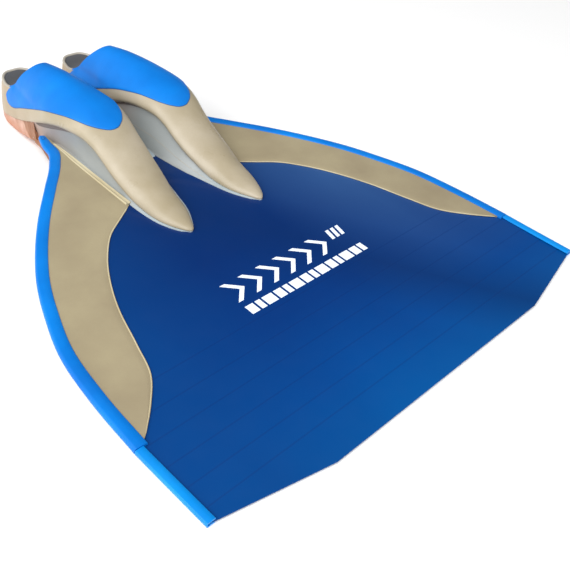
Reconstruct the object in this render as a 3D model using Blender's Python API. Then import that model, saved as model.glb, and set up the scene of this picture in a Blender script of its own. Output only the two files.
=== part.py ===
"""Hyper monofin: one stepped laminate blade, rubber wings and rails, two angled foot pockets.

X runs across the fin and +Y from the trailing edge to the heels. The fin lies on its heels and
on its trailing edge, which is how it rests on a floor. The right half is modelled, and the left
half is the same functions with the side turned over.
"""

from math import pi

import bmesh
import bpy
import numpy as np

# Driving sizes, metres.
BLADE_TIP_HALF = 0.342  # half width of the bare blade at its tips
TRAIL_HALF = 0.198  # half width of the straight middle of the trailing edge
TRAIL_DROP = 0.031  # how far that middle stands out past the tips
BLADE_FRONT_Y = 0.618
BLADE_ROOT_T = 0.0022
PLY_STEP = 0.0002
PLY_STEPS_Y = (0.016, 0.046, 0.078, 0.112, 0.146, 0.182)
REST_Z = 0.0035  # middle of the blade above the floor at the tips
RISE_SLOPE, RISE_BEND = 0.0153, 0.0532  # the blade curves up towards the feet
RAIL_W, RAIL_H = 0.0168, 0.0098
SLOT_DEPTH = 0.0108
RAIL_TAIL_Y = 0.114
RAIL_SLOT_END = (0.632, 0.646)  # where the rail's slot closes, past the blade's front edge
RAIL_SLIM = ((0.640, 0.672, 0.687), (1.0, 0.78, 0.50))  # y and share of the width left
RAIL_END_H = 0.55  # share of its height left at its end beside the heel
TIP_RAIL_W, TIP_RAIL_H, TIP_RAIL_WALL = 0.0120, 0.0070, 0.0016
WING_T = 0.0021
GAP = 0.0003  # glue line between neighbouring pieces
SKIN_T = 0.0024  # rubber of the pocket
PANEL_T, PANEL_GAP = 0.0013, 0.0010
INSOLE_T, INSOLE_GAP = 0.0016, 0.0010
PLATE_T = 0.0025
PLATE_DROP = 0.0008  # from the sock down to the plate
SOCK_GAP = 0.0018  # between the cover and the sock, which the foot fills out
LIP_GAP = 0.0014  # from the cover's lower edge down to the skirt and the heel cup
SEAM_W, SEAM_T = 0.005, 0.0012

# Half outline of the leading edge, from the tip to the kink beside the pocket and on to its end.
OUTLINE = [
    (0.3497, 0.0), (0.3509, 0.113), (0.3462, 0.197), (0.334, 0.282), (0.3157, 0.338),
    (0.2922, 0.395), (0.2606, 0.451), (0.2217, 0.508), (0.1770, 0.564), (0.1397, 0.611),
    (0.1252, 0.636), (0.1210, 0.660), (0.1120, 0.687),
]  # fmt: skip
# Inner edge of a wing, from the pocket to its point.
WING_EDGE = [
    (0.1005, 0.466), (0.1315, 0.4455), (0.1598, 0.4258), (0.187, 0.3948), (0.2236, 0.3328),
    (0.2372, 0.3008), (0.2575, 0.235), (0.2735, 0.188), (0.2995, 0.1542), (0.3318, 0.1215),
]  # fmt: skip
# Side of a wing along the pocket.
WING_SIDE = [
    (0.1005, 0.466), (0.1008, 0.560), (0.1012, 0.622), (0.1021, 0.650), (0.1032, 0.678),
]  # fmt: skip
# Where the pocket's skirt stands on the blade: from the kink round the nose to the middle.
SKIRT_FOOT = [
    (0.1028, 0.688), (0.1006, 0.655), (0.0985, 0.622), (0.0982, 0.5875), (0.0980, 0.52),
    (0.0982, 0.4916), (0.0992, 0.462), (0.0985, 0.432), (0.0940, 0.402), (0.0865, 0.381),
    (0.0775, 0.3695), (0.0663, 0.3645), (0.0550, 0.3705), (0.0455, 0.384), (0.0350, 0.407),
    (0.0272, 0.439), (0.0212, 0.473), (0.0150, 0.505), (0.0092, 0.543), (0.0066, 0.583),
    (0.0066, 0.622), (0.0110, 0.655), (0.0200, 0.688),
]  # fmt: skip
# Pocket stations: y, middle x, half width, height of the widest line, height of the top.
STATIONS = [
    (0.3660, 0.0665, 0.0035, 0.0202, 0.0226), (0.3780, 0.0672, 0.0108, 0.0212, 0.0274),
    (0.4040, 0.0668, 0.0225, 0.0230, 0.0342), (0.4490, 0.0658, 0.0308, 0.0298, 0.0484),
    (0.4790, 0.0651, 0.0350, 0.0432, 0.0600), (0.5040, 0.0641, 0.0369, 0.0546, 0.0719),
    (0.5300, 0.0634, 0.0378, 0.0695, 0.0877), (0.5450, 0.0637, 0.0385, 0.0790, 0.0970),
    (0.5610, 0.0642, 0.0411, 0.0872, 0.1064), (0.5940, 0.0646, 0.0474, 0.0928, 0.1187),
    (0.6480, 0.0648, 0.0493, 0.0826, 0.1279), (0.7012, 0.0628, 0.0470, 0.0599, 0.1307),
    (0.7550, 0.0603, 0.0428, 0.0373, 0.1247), (0.7970, 0.0583, 0.0401, 0.0255, 0.1185),
    (0.8240, 0.0578, 0.0365, 0.0207, 0.1176), (0.8400, 0.0573, 0.0293, 0.0194, 0.1168),
    (0.8480, 0.0571, 0.0170, 0.0189, 0.1149), (0.8516, 0.0570, 0.0040, 0.0189, 0.1102),
]  # fmt: skip
# Underside of the foot's sock, by y.
SOLE = [
    (0.533, 0.0780), (0.560, 0.0765), (0.594, 0.0710), (0.611, 0.0665), (0.636, 0.0580),
    (0.677, 0.0415), (0.733, 0.0190), (0.771, 0.0088), (0.808, 0.0075), (0.832, 0.0090),
    (0.846, 0.0160),
]  # fmt: skip
# Underside of the pad under the ball of the foot, by y.
FRONT_FLOOR = [
    (0.618, 0.0318), (0.640, 0.0285), (0.665, 0.0235), (0.690, 0.0180),
]  # fmt: skip
# Half width of the stiff plate under the sock, by y.
PLATE_WIDTH = [
    (0.556, 0.026), (0.600, 0.033), (0.650, 0.029), (0.688, 0.0205), (0.750, 0.0185),
    (0.822, 0.0100),
]  # fmt: skip
# How far the instep panel reaches down each side from the ridge, in degrees, by y.
PANEL_REACH = [
    (0.5468, 2.0), (0.5475, 9.0), (0.5490, 15.0), (0.5521, 22.5), (0.5560, 30.0),
    (0.5610, 37.0), (0.5690, 45.0), (0.5810, 51.5), (0.5926, 56.0), (0.6070, 61.0),
    (0.6210, 65.0), (0.6460, 69.0), (0.6750, 71.5), (0.7110, 73.5), (0.7490, 75.0),
    (0.7780, 77.5), (0.7926, 76.5), (0.8030, 73.0), (0.8085, 66.0),
]  # fmt: skip
# Underside of the heel cup, by y; below 0 it is cut flat at the floor.
HEEL_FLOOR = [
    (0.636, 0.0270), (0.690, 0.0190), (0.720, 0.0115), (0.750, 0.0050), (0.780, 0.0005),
    (0.800, 0.0), (0.830, 0.0010), (0.8505, 0.0080),
]  # fmt: skip
CORE_FOOT = 0.72  # width of the nose core on the blade, as a share of its width on top
# The ankle opening seen from the side: what lies above this line is open.
OPENING = [
    (0.7352, 0.1650), (0.7402, 0.1300), (0.7499, 0.1193), (0.7645, 0.1043), (0.7722, 0.0943),
    (0.7823, 0.0831), (0.7945, 0.0752), (0.8070, 0.0716), (0.8224, 0.0712), (0.8400, 0.0742),
    (0.8620, 0.0775), (0.8800, 0.1650),
]  # fmt: skip
# The panel's own line: the opening's as far as the ankle, then round its rear lobe.
PANEL_REAR = [(0.7985, 0.0705), (0.8052, 0.0620), (0.8080, 0.0500), (0.8300, 0.0300), (0.8800, 0.1650)]
TOE_Y, HEEL_Y = 0.540, 0.8465
CUP_FRONT_Y = 0.690
# How boxy the pocket's cut is above its widest line, below it, and round the heel.
ROUND_TOP, ROUND_LOW, ROUND_CUP = 1.9, 2.0, 3.0


def clear_scene():
    for obj in list(bpy.data.objects):
        bpy.data.objects.remove(obj, do_unlink=True)


def rubber(name, colour, roughness=0.45):
    material = bpy.data.materials.new(name)
    material.use_nodes = True
    shader = material.node_tree.nodes["Principled BSDF"]
    shader.inputs["Base Color"].default_value = (*colour, 1)
    shader.inputs["Roughness"].default_value = roughness
    return material


def curve(table, at):
    """Smooth curve through rows of (position, values), read at the given positions."""
    rows = np.array(table, float)
    x, v = rows[:, 0], rows[:, 1:]
    slope = np.gradient(v, x, axis=0)
    at = np.clip(np.atleast_1d(at), x[0], x[-1])
    i = np.clip(np.searchsorted(x, at) - 1, 0, len(x) - 2)
    h = (x[i + 1] - x[i])[:, None]
    s = ((at - x[i]) / (x[i + 1] - x[i]))[:, None]
    return (
        v[i] * (1 + 2 * s) * (1 - s) ** 2
        + slope[i] * h * s * (1 - s) ** 2
        + v[i + 1] * s**2 * (3 - 2 * s)
        + slope[i + 1] * h * s**2 * (s - 1)
    )


def path(points, count):
    """Evenly spaced points on a smooth line through the given plan points."""
    points = np.array(points, float)
    run = np.concatenate([[0], np.cumsum(np.linalg.norm(np.diff(points, axis=0), axis=1))])
    return curve(np.column_stack([run, points]), np.linspace(0, run[-1], count))


def offset(line, inward):
    """The plan line moved to its left by inward, without crossing itself."""
    along = np.gradient(line, axis=0)
    along /= np.linalg.norm(along, axis=1)[:, None]
    return line + np.column_stack([-along[:, 1], along[:, 0]]) * inward


def rise(y):
    """Height of the middle of the blade."""
    y = np.maximum(np.asarray(y, float), 0)
    return REST_Z + RISE_SLOPE * y + RISE_BEND * y**2


def blade_top(y):
    return rise(y) + BLADE_ROOT_T / 2


def blade_bottom(y):
    return rise(y) - BLADE_ROOT_T / 2


def new_object(name, side, verts, faces, material, sharp=35):
    """Makes the node; side -1 turns the right half's shape over to the left."""
    verts = np.array(verts, float) * (side or 1, 1, 1)
    mesh = bpy.data.meshes.new(name)
    mesh.from_pydata(verts.tolist(), [], [tuple(map(int, face)) for face in faces])
    edit = bmesh.new()
    edit.from_mesh(mesh)
    bmesh.ops.remove_doubles(edit, verts=edit.verts, dist=1e-6)
    bmesh.ops.recalc_face_normals(edit, faces=edit.faces)
    edit.to_mesh(mesh)
    edit.free()
    mesh.materials.append(material)
    mesh.shade_smooth()
    mesh.set_sharp_from_angle(angle=sharp * pi / 180)
    suffix = {1: "_right", -1: "_left", 0: ""}[side]
    obj = bpy.data.objects.new(name + suffix, mesh)
    bpy.context.scene.collection.objects.link(obj)
    return obj


def slab(name, side, top, bottom, material, caps=(False, False), sharp=35):
    """A closed piece between two grids of rows x columns; a capped end is walled across."""
    rows, columns = top.shape[:2]
    verts = np.concatenate([top.reshape(-1, 3), bottom.reshape(-1, 3)])
    low = rows * columns
    faces = []

    def at(i, j):
        return i * columns + j

    for i in range(rows - 1):
        for j in range(columns - 1):
            cell = [at(i, j), at(i, j + 1), at(i + 1, j + 1), at(i + 1, j)]
            faces += [cell, [low + v for v in reversed(cell)]]
    edges = [(at(i, j), at(i + 1, j)) for j in (0, columns - 1) for i in range(rows - 1)]
    for i, capped in zip((0, rows - 1), caps):
        if capped:
            end = [at(i, j) for j in range(columns)]
            faces += [end, [low + v for v in reversed(end)]]
            edges.append((end[-1], end[0]))
        else:
            edges += [(at(i, j), at(i, j + 1)) for j in range(columns - 1)]
    faces += [[a, b, low + b, low + a] for a, b in edges]
    return new_object(name, side, verts, faces, material, sharp)


def loft(name, side, rings, material, sharp=35):
    """A solid through closed rings of equal length, with flat ends."""
    count, size = rings.shape[:2]
    faces = [
        [i * size + j, i * size + (j + 1) % size, (i + 1) * size + (j + 1) % size, (i + 1) * size + j]
        for i in range(count - 1)
        for j in range(size)
    ]
    faces += [list(range(size)), [(count - 1) * size + j for j in range(size)]]
    return new_object(name, side, rings.reshape(-1, 3), faces, material, sharp)


def cutter(obj):
    obj.hide_render = True
    obj.display_type = "WIRE"
    return obj


def cut(obj, tool):
    modifier = obj.modifiers.new("cut", "BOOLEAN")
    modifier.operation = "DIFFERENCE"
    modifier.object = tool


def surface_grid(line_a, line_b, columns, height):
    """Rows from line_a to line_b, laid at the height given for each y."""
    mix = np.linspace(0, 1, columns)[None, :, None]
    flat = line_a[:, None] * (1 - mix) + line_b[:, None] * mix
    return np.dstack([flat, height(flat[..., 1])])


# ---- blade and what is glued round it ----


def blade(material):
    """One laminate from tip to tip, thinner by one ply at each step towards the trailing edge."""
    edge = offset(path(OUTLINE, 60), RAIL_W - SLOT_DEPTH + 0.0008)
    step_rows = [y + d for y in PLY_STEPS_Y for d in (-0.0002, 0.0002)]
    plain_rows = np.linspace(0.215, BLADE_FRONT_Y, 13)
    ys = np.array([-TRAIL_DROP, 0.0, *step_rows, *plain_rows])
    half = np.interp(ys, edge[:, 1], edge[:, 0])
    half = np.where(ys < RAIL_TAIL_Y, np.minimum(half, BLADE_TIP_HALF), half)
    half[0] = TRAIL_HALF
    plies = sum((ys[:, None] < np.array(PLY_STEPS_Y)[None]).astype(float).T)
    across = np.linspace(-1, 1, 9)
    x = half[:, None] * across
    y = np.repeat(ys[:, None], 9, 1)
    top = np.dstack([x, y, blade_top(y) - PLY_STEP * plies[:, None]])
    bottom = np.dstack([x, y, blade_bottom(y)])
    slab("blade", 0, top, bottom, material, sharp=20)


def slotted_section(width, height, bevel, slot_depth, slot_half):
    """A rail's cut: rounded outside, with a slot that the blade's edge sits in."""
    h = height / 2
    outer = [
        (0.0, 0.35 * h), (bevel * 0.3, 0.75 * h), (bevel, h), (width, h),
    ]  # fmt: skip
    slot = [(width, slot_half), (width - slot_depth, slot_half)]
    upper = outer + slot
    return np.array(upper + [(u, -w) for u, w in reversed(upper)])


def sweep(name, side, line, sections, material):
    """Carries one cut (inward, up) for each point of a plan line along the blade."""
    rings = []
    for inward, up in np.array(sections).transpose(1, 2, 0):
        plan = offset(line, inward[:, None])
        rings.append(np.column_stack([plan, rise(plan[:, 1]) + up]))
    loft(name, side, np.array(rings).transpose(1, 0, 2), material)


def edge_rail(side, material):
    line = path([p for p in OUTLINE if p[1] > 0.1], 32)
    line[0, 1] = RAIL_TAIL_Y
    sections = []
    for y in line[:, 1]:
        slot = SLOT_DEPTH * np.interp(y, RAIL_SLOT_END, [1.0, 0.0])
        section = slotted_section(RAIL_W, RAIL_H, 0.004, slot, BLADE_ROOT_T / 2 + GAP)
        slim = np.interp(y, *RAIL_SLIM)
        sections.append(section * (slim, 1.0 if y < line[-1, 1] else RAIL_END_H))
    sweep("edge_rail", side, line, sections, material)


def tip_rail(side, material):
    line = path([(0.3505, 0.0), (0.3509, RAIL_TAIL_Y - 0.0012)], 4)
    section = slotted_section(
        TIP_RAIL_W, TIP_RAIL_H, 0.002, TIP_RAIL_W - TIP_RAIL_WALL, BLADE_ROOT_T / 2 + GAP
    )
    sweep("tip_rail", side, line, [section] * len(line), material)


def wing(side, upper, material):
    """A rubber wing on one face of the blade, from the rail to its inner edge and the skirt."""
    rail = path([p for p in OUTLINE if p[1] > 0.1], 32)
    outer = offset(rail, (RAIL_W * np.interp(rail[:, 1], *RAIL_SLIM) + 3 * GAP)[:, None])
    inner = np.concatenate([path(WING_EDGE, 23)[::-1], path(WING_SIDE, 10)[1:]])
    outer[0] = inner[0] + (0.0010, 0.0)
    outer[-1] = inner[-1] + (0.0010, 0.0)
    sign = 1 if upper else -1
    near = BLADE_ROOT_T / 2 + GAP
    top = surface_grid(outer, inner, 4, lambda y: rise(y) + sign * (near + WING_T))
    low = surface_grid(outer, inner, 4, lambda y: rise(y) + sign * near)
    name = "wing_top" if upper else "wing_under"
    slab(name, side, top, low, material)


def seam_strip(side, material):
    """Latex strip along the joint between the wing and the skirt."""
    line = path([(0.1015, 0.468), (0.1018, 0.560), (0.1015, 0.640)], 9)
    over_wing = BLADE_ROOT_T / 2 + WING_T + 2 * GAP
    low = surface_grid(line, line + (SEAM_W, 0), 2, lambda y: rise(y) + over_wing)
    slab("seam_strip", side, low + (0, 0, SEAM_T), low, material)


# ---- foot pocket ----


def half_section(y, low, angles, inset=0.0, round_low=ROUND_LOW):
    """Points of the pocket's skin at each station: 0..pi is its top, pi..2 pi its underside."""
    centre, half, widest, top = curve(STATIONS, y).T
    half = np.maximum(half - inset, 0.0006)
    up = np.maximum(top - inset - widest, 0.0012)
    down = np.maximum(widest - low, 0.0012)
    c, s = np.cos(angles), np.sin(angles)
    power = 2 / np.where(s >= -1e-9, ROUND_TOP, round_low)
    x = centre[:, None] + half[:, None] * np.sign(c) * np.abs(c) ** power
    span = np.where(s >= 0, up[:, None], down[:, None])
    z = widest[:, None] + span * np.sign(s) * np.abs(s) ** power
    return np.dstack([x, np.repeat(y[:, None], len(angles), 1), z])


def station_rows(start, end, count):
    """Stations that crowd together at both ends, where the shape turns most."""
    t = (1 - np.cos(np.linspace(0, pi, count))) / 2
    return start + (end - start) * t


def pulled_in(y, start, end):
    """The same stations with their two ends moved inward."""
    return y[0] + start + (y - y[0]) * (y[-1] - y[0] - start - end) / (y[-1] - y[0])


def side_cutter(side, outline):
    """Everything above a line seen from the side, for one pocket."""
    line = path(outline, 40)
    rings = np.array([[(x, y, z) for y, z in line] for x in (-0.005, 0.125)])
    return cutter(loft("side_cut", side, rings, bpy.data.materials[0]))


def upper_cover(side, material, opening):
    """Beige skin from the nose over the instep and round the heel."""
    y = station_rows(0.3665, 0.8512, 30)
    angles = np.linspace(0, pi, 15)
    outer = half_section(y, 0.0, angles)
    inner = half_section(pulled_in(y, SKIN_T, SKIN_T), 0.0, angles, SKIN_T)
    cut(slab("upper_cover", side, outer, inner, material, (True, True)), opening)


def instep_panel(side, material, cut_line):
    """Blue skin laid over the instep, from the toes back to a lobe on each side of the ankle."""
    y = station_rows(PANEL_REACH[0][0], PANEL_REACH[-1][0], 24)
    reach = curve(PANEL_REACH, y)[:, 0] * pi / 180
    skins = []
    for inset in (-PANEL_T - PANEL_GAP, -PANEL_GAP):
        rows = [
            half_section(y[i : i + 1], 0.0, np.linspace(pi / 2 - a, pi / 2 + a, 11), inset)[0]
            for i, a in enumerate(reach)
        ]
        skins.append(np.array(rows))
    cut(slab("instep_panel", side, *skins, material), cut_line)


def sock_rings(thinner):
    """Rings of the sock's surface, or of its hollow when thinner is the rubber's thickness."""
    y = station_rows(TOE_Y + thinner, HEEL_Y - thinner, 20)
    turn = np.linspace(0, 2 * pi, 20, endpoint=False)
    sole = curve(SOLE, y)[:, 0] + thinner
    rings = half_section(y, sole, turn, SKIN_T + SOCK_GAP + thinner)
    front = np.clip((y - y[0]) / 0.045, 0, 1)
    rear = np.clip((y[-1] - y) / 0.02, 0, 1)
    shrink = np.sqrt(1 - (1 - front) ** 2) * np.sqrt(1 - (1 - rear) ** 2)
    shrink = np.maximum(shrink, 0.12)[:, None, None]
    middle = (rings.max(axis=1) + rings.min(axis=1))[:, None] / 2
    return middle + (rings - middle) * (shrink * (1, 0, 1) + (0, 1, 0))


def foot_sock(side, material, opening):
    """Latex sock that holds the foot: closed round the toes, open over the ankle."""
    obj = loft("foot_sock", side, sock_rings(0.0), material)
    cut(obj, cutter(loft("sock_hollow", side, sock_rings(SKIN_T), material)))
    cut(obj, opening)


def insole(side, material):
    """Thin liner that lies on the bottom of the sock."""
    y = np.linspace(0.585, 0.812, 14)
    angles = np.linspace(1.5 * pi - 0.7, 1.5 * pi + 0.7, 7)
    faces = []
    for lift in (INSOLE_GAP + INSOLE_T, INSOLE_GAP):
        sole = curve(SOLE, y)[:, 0] + SKIN_T + lift
        faces.append(half_section(y, sole, angles, 2 * SKIN_T + SOCK_GAP + lift))
    slab("insole", side, *faces, material)


def foot_plate(side, material):
    """Stiff plate under the sock, which sets the foot's angle to the blade."""
    y = np.linspace(PLATE_WIDTH[0][0], PLATE_WIDTH[-1][0], 15)
    centre = curve(STATIONS, y)[:, :1]
    x = centre + curve(PLATE_WIDTH, y) * np.linspace(-1, 1, 4)
    z = np.repeat(curve(SOLE, y) - PLATE_DROP, 4, 1)
    top = np.dstack([x, np.repeat(y[:, None], 4, 1), z])
    slab("foot_plate", side, top, top - (0, 0, PLATE_T), material)


def front_sole(side, material):
    """Latex pad under the ball of the foot, from the blade's front edge to the heel cup."""
    y = np.linspace(BLADE_FRONT_Y + 0.0015, CUP_FRONT_Y - 0.0015, 7)
    foot = np.array(SKIRT_FOOT)
    outer, inner = (part[np.argsort(part[:, 1])] for part in (foot[:3], foot[-3:]))
    high, low_x = (np.interp(y, part[:, 1], part[:, 0])[:, None] for part in (outer, inner))
    across = np.linspace(-1, 1, 11)
    x = (high + low_x) / 2 + (high - low_x) / 2 * across
    yy = np.repeat(y[:, None], 11, 1)
    under_plate = np.repeat(curve(SOLE, y), 11, 1) - PLATE_DROP - PLATE_T - 4 * GAP
    dip = np.clip((0.9 - np.abs(across)) / 0.2, 0, 1)
    top = blade_top(yy) - np.maximum(blade_top(yy) - under_plate, 0) * dip
    deep = np.maximum(blade_bottom(yy) - curve(FRONT_FLOOR, y), 0)
    low = blade_bottom(yy) - 0.0004 - deep * (1 - np.abs(across) ** ROUND_CUP) ** (1 / ROUND_CUP)
    slab("front_sole", side, np.dstack([x, yy, top]), np.dstack([x, yy, low]), material)


def heel_cup(side, material):
    """Natural latex under and round the heel, which the fin rests on."""
    y = station_rows(CUP_FRONT_Y, 0.8505, 16)
    inside = curve(SOLE, y)[:, 0] - PLATE_DROP - PLATE_T - 3 * GAP
    floor = np.minimum(curve(HEEL_FLOOR, y)[:, 0], inside - SKIN_T)
    angles = np.linspace(pi, 2 * pi, 13)
    outer = half_section(y, floor, angles, 0.0, ROUND_CUP)
    inner = half_section(pulled_in(y, 0.0, SKIN_T), inside, angles, SKIN_T, ROUND_CUP)
    outer[..., 2] = np.maximum(outer[..., 2] - LIP_GAP, 0.0)
    slab("heel_cup", side, outer, inner - (0, 0, LIP_GAP), material, (False, True))


def wedge_core(side, material):
    """Foam between the blade and the foot plate, under the ball of the foot."""
    y = np.linspace(0.545, 0.612, 6)
    grid = np.dstack([0.058 + 0.030 * np.linspace(-1, 1, 5) + 0 * y[:, None], np.repeat(y[:, None], 5, 1)])
    top = np.repeat((curve(SOLE, y)[:, 0] - PLATE_DROP - PLATE_T - 2 * GAP)[:, None], 5, 1)
    low = blade_top(grid[..., 1]) + GAP
    slab("wedge_core", side, np.dstack([grid, top]), np.dstack([grid, low]), material)


def nose_core(side, material):
    """Foam that fills the nose in front of the toes."""
    y = station_rows(0.388, 0.524, 11)
    top = half_section(y, 0.0, np.linspace(0.0, pi, 11), SKIN_T + 0.0030)
    low = top.copy()
    low[..., 2] = blade_top(low[..., 1]) + GAP
    middle = curve(STATIONS, y)[:, :1]
    low[..., 0] = middle + (low[..., 0] - middle) * CORE_FOOT
    top[..., 2] = np.maximum(top[..., 2], low[..., 2] + 0.0015)
    slab("nose_core", side, top, low, material)


def skirt(side, material):
    """Grey rubber wall from the cover's lower edge down to the blade, all round the nose."""
    foot = path(SKIRT_FOOT, 52)
    turn = int(np.argmin(foot[:, 1]))
    y = np.maximum(foot[:, 1], 0.3668)
    centre, half, widest, _ = curve(STATIONS, y).T
    hand = np.where(np.arange(len(foot)) < turn, 1.0, -1.0)
    hand[turn] = 0.0
    ridge = np.column_stack([centre + hand * (half - 0.001), y, widest - LIP_GAP])
    base = np.column_stack([foot, blade_top(foot[:, 1]) + GAP])
    ridge[:, 2] = np.maximum(ridge[:, 2], base[:, 2] + 0.001)
    inward = np.column_stack([offset(foot, -1.0) - foot, 0 * y])
    if (inward[0] * (-1, 0, 0)).sum() < 0:
        inward = -inward
    tall = (ridge[:, 2] - base[:, 2])[:, None]
    waist = 0.6 * base + 0.4 * ridge + inward * tall * 0.05
    outer = np.array(
        [base * (1 - t) ** 2 + waist * 2 * t * (1 - t) + ridge * t**2 for t in np.linspace(0, 1, 5)]
    ).transpose(1, 0, 2)
    slab("skirt", side, outer, outer + (inward * SKIN_T)[:, None], material)


def centre_web(material):
    """Grey saddle that joins the two skirts over the blade."""
    y = np.linspace(0.547, 0.612, 8)
    reach = np.interp(y, [0.547, 0.583, 0.612], [0.0066, 0.0056, 0.0056])
    across = np.linspace(-1, 1, 5)
    x = reach[:, None] * across
    yy = np.repeat(y[:, None], 5, 1)
    low = np.dstack([x, yy, blade_top(yy) + GAP])
    lift = (0.0025 + 0.10 * (y - y[0]))[:, None] * (0.75 + 0.25 * across**2)
    slab("centre_web", 0, low + np.dstack([0 * x, 0 * x, lift]), low, material)


def put_on_origin():
    """Moves every node so that the origin is under the middle of the whole fin's box."""
    bpy.context.view_layer.update()
    nodes = [obj for obj in bpy.context.scene.objects if obj.type == "MESH"]
    points = np.array(
        [tuple(v.co) for obj in nodes if not obj.hide_render for v in obj.data.vertices]
    )
    low, high = points.min(axis=0), points.max(axis=0)
    shift = np.array([(low[0] + high[0]) / 2, (low[1] + high[1]) / 2, low[2]])
    for obj in nodes:
        coords = np.array([tuple(v.co) for v in obj.data.vertices]) - shift
        obj.data.vertices.foreach_set("co", coords.ravel())
        obj.data.update()


def main():
    clear_scene()
    blade_blue = rubber("laminate", (0.01, 0.06, 0.25), 0.2)
    rail_blue = rubber("rail_rubber", (0.02, 0.28, 0.9))
    tip_blue = rubber("tip_rail_rubber", (0.03, 0.38, 0.95))
    wing_beige = rubber("wing_rubber", (0.42, 0.35, 0.22), 0.6)
    cover_beige = rubber("cover_rubber", (0.58, 0.50, 0.38))
    grey = rubber("skirt_rubber", (0.33, 0.37, 0.37))
    latex = rubber("natural_latex", (0.60, 0.32, 0.17))
    dark = rubber("sock_latex", (0.09, 0.08, 0.07), 0.7)
    foam = rubber("foam", (0.5, 0.5, 0.48), 0.9)
    plate = rubber("plate_laminate", (0.05, 0.05, 0.05), 0.3)
    blade(blade_blue)
    for side in (1, -1):
        opening = side_cutter(side, OPENING)
        panel_end = side_cutter(side, OPENING[:6] + PANEL_REAR)
        edge_rail(side, rail_blue)
        tip_rail(side, tip_blue)
        wing(side, True, wing_beige)
        wing(side, False, wing_beige)
        seam_strip(side, cover_beige)
        upper_cover(side, cover_beige, opening)
        instep_panel(side, rail_blue, panel_end)
        foot_sock(side, dark, opening)
        insole(side, dark)
        foot_plate(side, plate)
        front_sole(side, latex)
        heel_cup(side, latex)
        wedge_core(side, foam)
        nose_core(side, foam)
        skirt(side, grey)
    centre_web(grey)
    put_on_origin()


main()
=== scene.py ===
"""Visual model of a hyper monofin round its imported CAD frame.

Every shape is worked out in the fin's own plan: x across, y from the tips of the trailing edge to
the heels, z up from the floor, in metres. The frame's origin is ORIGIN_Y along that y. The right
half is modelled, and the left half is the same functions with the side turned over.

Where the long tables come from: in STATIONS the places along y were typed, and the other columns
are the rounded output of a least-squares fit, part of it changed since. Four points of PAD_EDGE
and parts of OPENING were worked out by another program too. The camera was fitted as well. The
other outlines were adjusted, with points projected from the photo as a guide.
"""

from math import cos, pi, sin

import bmesh
import bpy
import numpy as np
from mathutils import Matrix, Vector


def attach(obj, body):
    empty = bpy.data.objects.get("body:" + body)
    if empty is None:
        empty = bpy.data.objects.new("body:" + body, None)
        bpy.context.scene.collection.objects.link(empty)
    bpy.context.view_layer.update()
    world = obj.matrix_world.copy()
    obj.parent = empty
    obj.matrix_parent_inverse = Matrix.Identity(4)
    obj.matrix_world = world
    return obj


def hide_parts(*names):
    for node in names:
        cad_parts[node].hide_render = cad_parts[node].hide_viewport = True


ORIGIN_Y = 0.4101

# Sizes of the CAD model, metres. They repeat the CAD source's own values.
BLADE_TIP_HALF, TRAIL_HALF, TRAIL_DROP, BLADE_FRONT_Y = 0.342, 0.198, 0.031, 0.618
BLADE_T, PLY_STEP = 0.0022, 0.0002
PLY_STEPS_Y = (0.016, 0.046, 0.078, 0.112, 0.146, 0.182)
REST_Z, RISE_SLOPE, RISE_BEND = 0.0035, 0.0153, 0.0532
RAIL_W, RAIL_H, SLOT_DEPTH, RAIL_TAIL_Y = 0.0168, 0.0098, 0.0108, 0.114
RAIL_SLIM = ((0.640, 0.672, 0.687), (1.0, 0.78, 0.50))
WING_T = 0.0021
NOSE_Y, NOSE_ROUND = 0.3662, 0.0040
SKIN_T = 0.0024
PLATE_UNDER = 0.0039  # from the sock down to the underside of the foot plate
ROUND_TOP, ROUND_LOW, ROUND_CUP = 1.9, 2.0, 3.0

OUTLINE = [
    (0.3497, 0.0), (0.3509, 0.113), (0.3462, 0.197), (0.334, 0.282), (0.3157, 0.338),
    (0.2922, 0.395), (0.2606, 0.451), (0.2217, 0.508), (0.1770, 0.564), (0.1397, 0.611),
    (0.1252, 0.636), (0.1210, 0.660), (0.1120, 0.687),
]  # fmt: skip
WING_EDGE = [
    (0.1005, 0.466), (0.1315, 0.4455), (0.1598, 0.4258), (0.187, 0.3948), (0.2236, 0.3328),
    (0.2372, 0.3008), (0.2575, 0.235), (0.2735, 0.188), (0.2995, 0.1542), (0.3318, 0.1215),
]  # fmt: skip
WING_SIDE = [
    (0.1005, 0.466), (0.1008, 0.560), (0.1012, 0.622), (0.1021, 0.650), (0.1032, 0.678),
]  # fmt: skip
SKIRT_FOOT = [
    (0.1028, 0.688), (0.1006, 0.655), (0.0985, 0.622), (0.0982, 0.5875), (0.0980, 0.52),
    (0.0982, 0.4916), (0.0992, 0.462), (0.0985, 0.432), (0.0940, 0.402), (0.0865, 0.381),
    (0.0775, 0.3695), (0.0663, 0.3645), (0.0550, 0.3705), (0.0455, 0.384), (0.0350, 0.407),
    (0.0272, 0.439), (0.0212, 0.473), (0.0150, 0.505), (0.0092, 0.543), (0.0066, 0.583),
    (0.0066, 0.622), (0.0110, 0.655), (0.0200, 0.688),
]  # fmt: skip
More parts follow.
